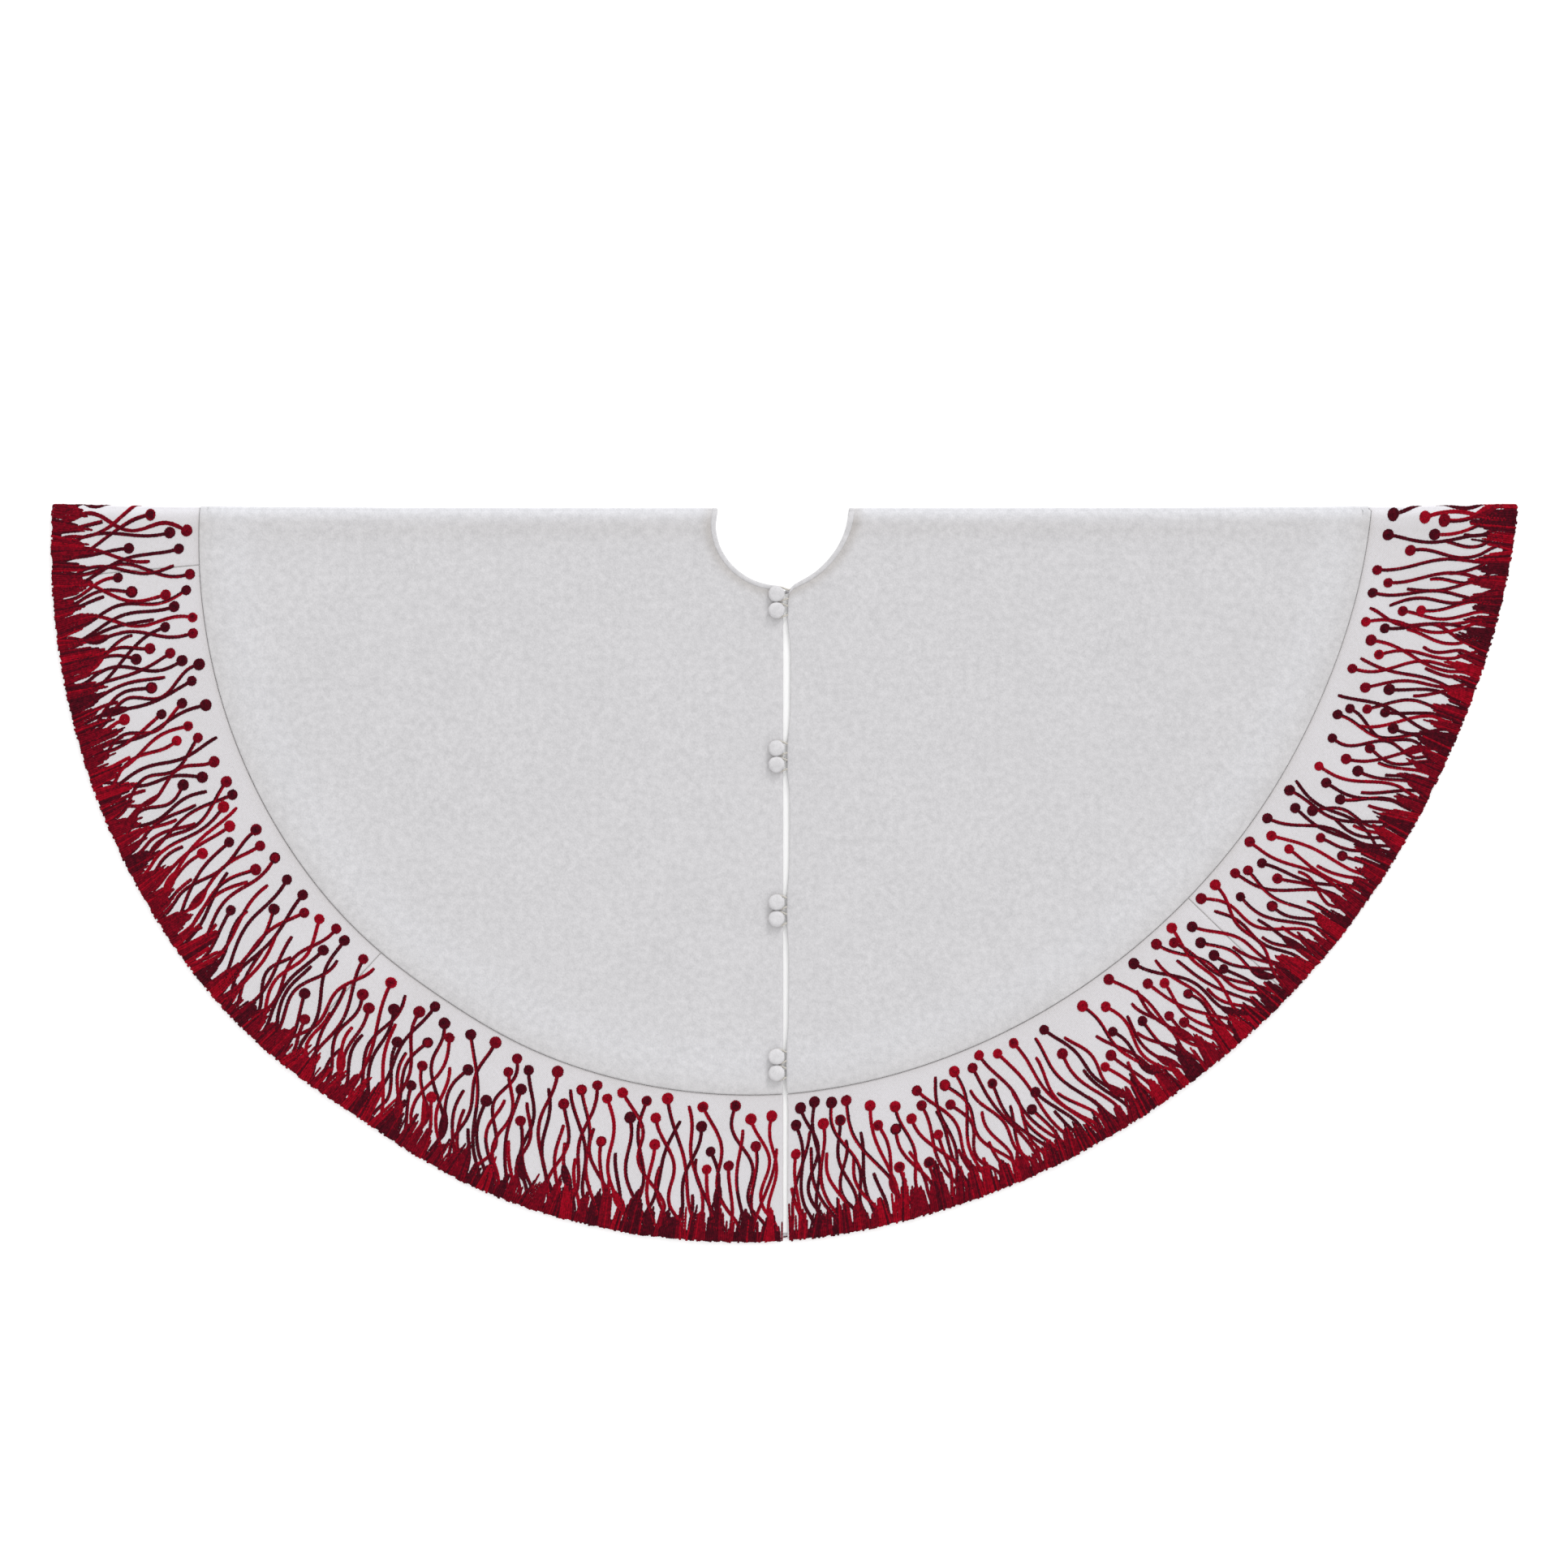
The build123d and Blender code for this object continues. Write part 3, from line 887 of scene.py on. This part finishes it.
def best_stem(root, tips, lines, berries):
    """The candidate that best keeps its tip clear of other tips and its line clear of the rest."""
    best, best_score = None, -1e9
    for _ in range(CANDIDATES):
        length, path = candidate(root + rng.normal(0, 1.5 * MM) / HEM_R)
        if not on_band(path):
            continue
        tip = path[-1, :2]
        score = rng.uniform(0, 3 * MM)
        if tips:
            score += min(np.linalg.norm(np.array(tips[-60:]) - tip, axis=1).min(), TIPS_APART)
        if lines:
            other = np.concatenate(lines[-9:])
            gaps = np.linalg.norm(path[8::2, None, :2] - other[None, ::2, :2], axis=2).min(axis=1)
            score -= 1.1 * MM * (gaps < STEMS_APART).sum()
            beside_tip = np.linalg.norm(other[:, :2] - tip, axis=1).min()
            score -= 1.5 * max(0.0, TIP_TO_STEM - beside_tip)
        if berries:
            centres = np.array(berries[-30:])
            gaps = np.linalg.norm(path[:, None, :2] - centres[None], axis=2).min(axis=0)
            score -= 2.5 * np.maximum(STEM_TO_BERRY - gaps, 0).sum()
        if score > best_score:
            best, best_score = (length, path), score
    return best


STEM_SPACING = 7.5 * MM
STEM_COLOURS = [
    ("bright", "mid"), ("mid", "dark"), ("mid", "mid"), ("bright", "bright"), ("dark", "dark"),
    ("mid", "bright"), ("dark", "mid"), ("dark", "dark"),
]


def stems(yarn):
    """Wavy stems all round the hem, many with a berry, some with a bud."""
    tips, lines, berries = [], [], []
    for k in range(int(WHOLE * HEM_R / STEM_SPACING)):
        found = best_stem((k + 0.5) * STEM_SPACING / HEM_R, tips, lines, berries)
        if found is None:
            continue
        length, path = found
        beside = [np.linalg.norm(line[:, :2] - path[-1, :2], axis=1).min() for line in lines[-9:]]
        tips.append(path[-1, :2])
        lines.append(path)
        colours = STEM_COLOURS[rng.integers(len(STEM_COLOURS))]
        paired(yarn, colours, path)
        radius = rng.uniform(4.9, 6.0) * MM
        heading = path[-1] - path[-3]
        centre = path[-1] + heading / np.linalg.norm(heading) * radius * 0.55
        near = [np.linalg.norm(other - centre[:2]) for other in berries[-30:]]
        clear = min(beside, default=math.inf) > BERRY_TO_STEM
        clear = clear and min(near, default=math.inf) > BERRIES_APART
        clear = clear and (centre[1] > 0 or abs(centre[0]) > radius + 0.4 * MM)
        if rng.random() < 0.36 + 0.38 * length / (100 * MM) and clear:
            rind = colours[rng.integers(2)]
            heart = colours[rng.integers(2)] if rng.random() < 0.5 else rind
            berry(yarn, (rind, heart), centre, radius)
            berries.append(centre[:2])
        if rng.random() < 0.13 and length > 60 * MM:
            bud(yarn, colours, path, rng.uniform(8, 24) * MM, rng.uniform(26, 34) * MM)


ROW_PITCH = 2.25 * MM


COLOUR_SHARES = [0.2, 0.48, 0.32]


def tufts(along):
    """Height, sideways pull and colour of the dense stitching at each place along the hem."""
    height = (12.5 + 9.5 * rng.random(len(along))) * MM
    pull = rng.normal(0, 0.6, len(along)) * MM
    colour = np.full(len(along), 1)
    place = 0.0
    while place < along[-1]:
        half = rng.uniform(6.5, 15.0) * MM
        peak = (17 + 25 * rng.beta(1.4, 2.0)) * MM * (0.75 + half / (40 * MM))
        middle = place + rng.uniform(0.5, 1.2) * half
        skew = rng.uniform(-0.45, 0.45)
        offset = (along - middle) / half
        distance = np.abs(offset) * (1 + skew * np.sign(offset))
        rise = np.where(distance < 1, 9 * MM + np.maximum(1 - distance, 0) ** 0.8 * peak, 0)
        inside = rise > height
        lean = rng.normal(0, 0.1)
        jitter = rng.uniform(-4.5, 3.0, len(along)) * MM
        drawn = (middle - along) * 0.3 * rise / (peak + 9 * MM)
        pull = np.where(inside, drawn + lean * rise, pull)
        height = np.where(inside, rise + jitter, height)
        main = rng.choice(3, p=COLOUR_SHARES)
        mixed = np.where(rng.random(len(along)) < 0.72, main, rng.integers(0, 3, len(along)))
        colour = np.where(inside, mixed, colour)
        place += half * rng.uniform(0.75, 1.5)
    return height, pull, colour


def hem_rows(yarn):
    """Dense radial rows wrapped over the hem edge, rising into jagged tufts."""
    clear = 1.35 * MM
    along = np.arange(clear, WHOLE * HEM_R - clear, ROW_PITCH)
    to_slit = np.minimum(along, WHOLE * HEM_R - along)
    for place, height, pull, colour, room in zip(along, *tufts(along), to_slit):
        turn = place / HEM_R
        rim = HEM_R + rng.uniform(-1.0, 1.0) * MM
        out = np.array([0.2, 0.9, 0.3, -4, -0.5 * height / MM, -height / MM]) * MM
        up = np.array([-1.9, -0.7, 0.1, 0.2, 0.1, 0.0]) * MM
        ease = np.array([0, 0, 0, 0.1, 0.5, 1.0])
        pull = np.clip(pull, 0.6 * (MM - room), 0.6 * (room - MM))
        x, y = flat(rim + out, turn + ease * pull / HEM_R)
        path = np.stack([x, y, up], axis=1)
        across = np.array([math.cos(turn), -math.sin(turn), 0])
        wide = min(ROW_PITCH * rng.uniform(1.02, 1.22), 1.45 * room)
        tall = rng.uniform(0.82, 1.02) * MM
        tube(yarn, COLOURS[colour], path, wide, tall, across=across, ends=(1, 0.6))


BED = np.array([
    [-9.5, -0.15], [-9, 0.2], [-0.8, 0.2], [0.2, -0.3], [0.2, -2.0], [-0.3, -2.0], [-1, -0.3],
])


def hem_padding(yarn):
    """Closed bed of dark yarn under the rows, over the hem edge, in spans given in quarter turns."""
    spans = [(0.0024, 0.993, BED), (1.007, 2.993, BED), (3.007, 3.9976, BED)]
    spans += [(fold - 0.007, fold + 0.007, BED[:3]) for fold in (1, 3)]
    for start, end, bed in spans:
        turns = spread(start * QUARTER, end * QUARTER, min(math.radians(1), (end - start) / 16))
        x, y = flat(HEM_R + bed[None, :, 0] * MM, turns[:, None])
        rings = np.stack([x, y, np.broadcast_to(bed[None, :, 1] * MM, x.shape)], axis=-1)
        yarn.add((panel_of(x, y), "dark"), laid(rings)[:, ::-1])


def embroidery():
    """All the yarn: hem pieces stand for the CAD's edge stitches, stems are added to them."""
    hem = Yarn()
    hem_padding(hem)
    hem_rows(hem)
    stands_for = {
        "front_left": "front_left_edge_embroidery",
        "front_right": "front_right_edge_embroidery",
        "back_half": "back_edge_embroidery",
    }
    for piece in hem.pieces("hem_stitches"):
        for panel, node in stands_for.items():
            if panel in piece.name and "fold" not in piece.name:
                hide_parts(node)
    growth = Yarn()
    stems(growth)
    growth.pieces("stems")


# ------------------------------------------------ buttons, loops and threads
def turned(name, slot, profile, ripple, sides=56):
    """A solid of revolution about Z from (radius, height) points; ripple adds to the radius."""
    profile = np.asarray(profile, float)
    angle = np.linspace(0, WHOLE, sides, endpoint=False)
    radius = profile[:, :1] + ripple(profile, angle)
    height = np.broadcast_to(profile[:, 1:], radius.shape)
    points = np.stack([radius * np.cos(angle), radius * np.sin(angle), height], axis=-1)
    rows = len(profile)
    caps = np.stack([np.arange(sides)[::-1], np.arange(sides) + (rows - 1) * sides])
    faces = [grid_faces(rows, sides, closed=True), caps]
    return build(name, slot, points, faces)


def button_cover(number):
    """Felt stretched over a domed shell, with a crease above its turned-in rim."""
    low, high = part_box(f"button_{number}_cover")
    middle = (low + high) / 2
    radius = (high.x - low.x) / 2
    rise = high.z - low.z
    crown, crown_foot = radius * 0.91, low.z + rise * 0.46
    dome = np.radians(np.array([5, 13, 21, 29, 37, 45, 53, 61, 69, 77, 84, 90]))
    over = high.z - crown_foot
    top = [(crown * math.sin(a) ** 0.84, crown_foot + over * math.cos(a) ** 0.62) for a in dome]
    rim = [(0.905, 0.42), (0.925, 0.4), (0.965, 0.38), (0.99, 0.31), (1.0, 0.22), (0.985, 0.1)]
    rim += [(0.92, 0.0), (0.82, 0.02), (0.8, 0.1)]
    profile = top + [(radius * r, low.z + rise * h) for r, h in rim]
    gathers = rng.uniform(0, WHOLE)

    def ripple(outline, angle):
        below = np.clip((low.z + rise * 0.3 - outline[:, 1]) / (rise * 0.3), 0, 1)[:, None]
        soft = 0.1 * MM * np.sin(3 * angle + gathers)[None, :]
        return soft + below * 0.12 * MM * np.sin(22 * angle + gathers)[None, :]

    cover = turned(f"button_cover_{number}", "button_felt", profile[::-1], ripple)
    lean_x, lean_y = rng.normal(0.035, 0.03), rng.normal(0.035, 0.03)
    points = np.array([vertex.co for vertex in cover.data.vertices])
    share = np.clip((points[:, 2] - low.z) / rise - 0.2, 0, 1)
    points[:, 2] += (points[:, 0] * lean_x + points[:, 1] * lean_y) * share * 1.6
    points += np.array([middle.x, middle.y, 0])
    cover.data.vertices.foreach_set("co", points.astype(np.float32).ravel())
    cover.data.update()
    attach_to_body(cover, f"button_{number}")
    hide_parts(f"button_{number}_cover")


LOOP_CORD = 2.1 * MM
PLIES, LAY = 3, 5.5 * MM


def loop_line(number):
    """Centre line of a button loop, from the right panel's edge round the button and back."""
    low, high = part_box(f"button_loop_{number}")
    cord = LOOP_CORD / 2
    middle = (low.y + high.y) / 2
    half = (high.y - low.y) / 2 - cord
    root = 4.6 * MM
    end = low.x + cord + half
    top, tail = high.z - cord, low.z + cord
    edge = slit_gap(-middle) - LEFT_OF_CENTRE
    leg = [(edge + 8 * MM, root, tail), (edge + 3 * MM, root, tail), (edge + 1 * MM, root, tail)]
    leg += [(edge - 0.8 * MM, root + 0.2 * MM, tail + 0.8 * MM), (-3 * MM, half * 0.88, top)]
    leg += [(-6 * MM, half, top)]
    sag = rng.uniform(-0.4, 0.4) * MM
    upper = [(x, middle + out, z) for x, out, z in leg]
    lower = [(x, middle - out, z) for x, out, z in leg]
    bow = [
        (end - half * math.sin(a), middle + half * math.cos(a) + sag * math.sin(a), top)
        for a in np.linspace(0.25, math.pi - 0.25, 11)
    ]
    return np.array(upper + bow + lower[::-1])


def smooth_line(points, step):
    """Even points on a smooth curve near the given ones."""
    curve = bpy.data.curves.new("guide", "CURVE")
    curve.dimensions = "3D"
    spline = curve.splines.new("NURBS")
    spline.points.add(len(points) - 1)
    for point, at in zip(spline.points, points):
        point.co = (*at, 1)
    spline.order_u = 4
    spline.use_endpoint_u = True
    curve.resolution_u = 8
    guide = bpy.data.objects.new("guide", curve)
    mesh = bpy.data.meshes.new_from_object(guide)
    line = np.array([v.co for v in mesh.vertices])
    bpy.data.objects.remove(guide)
    bpy.data.meshes.remove(mesh)
    return resampled(line, step)


def twisted_cord(name, slot, line, radius, sides=8):
    """Round cord of twisted plies along a line."""
    ahead = np.gradient(line, axis=0)
    ahead /= np.linalg.norm(ahead, axis=1)[:, None]
    side = np.cross(ahead, np.array([0.05, 0.02, 1.0]))
    side /= np.linalg.norm(side, axis=1)[:, None]
    up = np.cross(side, ahead)
    travelled = distances(line)
    points, faces, caps, start = [], [], [], 0
    around = np.linspace(0, WHOLE, sides, endpoint=False)
    for ply in range(PLIES):
        angle = WHOLE * (travelled / LAY + ply / PLIES)
        centre = line + radius * 0.5 * (np.cos(angle)[:, None] * side + np.sin(angle)[:, None] * up)
        ring = side[:, None, :] * np.cos(around)[None, :, None]
        ring = ring + up[:, None, :] * np.sin(around)[None, :, None]
        points.append((centre[:, None, :] + radius * 0.54 * ring).reshape(-1, 3))
        count = len(line) * sides
        faces.append(grid_faces(len(line), sides, closed=True)[:, ::-1] + start)
        caps += [np.arange(sides)[::-1] + start, np.arange(sides) + start + count - sides]
        start += count
    return build(name, slot, np.concatenate(points), [np.concatenate(faces), np.array(caps)])


def button_loops():
    """Cream cord loops, sewn into the right slit edge."""
    for number in range(1, 9):
        line = smooth_line(loop_line(number), 0.55 * MM)
        cord = twisted_cord(f"loop_cord_{number}", "cord_cream", line, LOOP_CORD / 2)
        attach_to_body(cord, "front_right")
        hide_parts(f"button_loop_{number}")


def fasteners():
    """Covered buttons, loops and the CAD pieces that keep their own shape."""
    for number in range(1, 9):
        button_cover(number)
        for part in ("shell", "back"):
            finish(f"button_{number}_{part}", "button_metal")
    button_loops()
    finish("button_threads", "thread")


def finish(node, slot):
    """Gives a CAD node its material."""
    mesh = frame["nodes"][node].data
    mesh.materials.clear()
    mesh.materials.append(MATERIALS[slot])


# ------------------------------------------------ stage, light and camera
VIEW_WIDTH = 1.6325
VIEW_CENTRE = Vector((-0.0017, -0.2873, 0.007))
LENS, SENSOR = 100.0, 36.0
FLOOR_REACH = 12.0
FLOOR_GLOW = 0.25
KEY_STRENGTH, KEY_WIDTH_DEG = 1.15, 15
KEY_FROM = Vector((0.31, 0.84, 0.455))
SURROUND_STRENGTH = 1.01


def stage():
    """Plain pale floor with a faint glow of its own, which keeps it white under the soft light."""
    signs = ((-1, -1), (1, -1), (1, 1), (-1, 1))
    mesh = bpy.data.meshes.new("floor")
    mesh.from_pydata([(x * FLOOR_REACH, y * FLOOR_REACH, 0) for x, y in signs], [], [(0, 1, 2, 3)])
    floor = new_object("floor", mesh)
    shade = Shade("floor_paint", roughness=0.9)
    tune(shade.shader, {"Base Color": (0.93, 0.93, 0.93, 1)})
    tune(shade.shader, {"Emission Color": (1, 1, 1, 1), "Emission Strength": FLOOR_GLOW})
    mesh.materials.append(shade.material)


def lighting():
    """Large, soft key light from above the fold, with an even white surround."""
    sun = bpy.data.lights.new("key", "SUN")
    sun.energy = KEY_STRENGTH
    sun.angle = math.radians(KEY_WIDTH_DEG)
    lamp = new_object("key", sun)
    lamp.rotation_euler = KEY_FROM.to_track_quat("Z", "Y").to_euler()
    world = bpy.data.worlds.new("studio")
    world.use_nodes = True
    background = world.node_tree.nodes["Background"]
    tune(background, {"Color": (1, 1, 1, 1), "Strength": SURROUND_STRENGTH})
    bpy.context.scene.world = world
    bpy.context.scene.view_settings.view_transform = "Standard"


def camera():
    """Straight down, with the fold at the top of the picture."""
    data = bpy.data.cameras.new("camera")
    data.lens = LENS
    data.sensor_width = SENSOR
    data.clip_end = 100
    eye = new_object("camera", data)
    eye.location = VIEW_CENTRE + Vector((0, 0, VIEW_WIDTH * LENS / SENSOR))
    bpy.context.scene.camera = eye


camera()
stage()
lighting()
felt_circle()
linings()
band()
neck_binding()
embroidery()
fasteners()
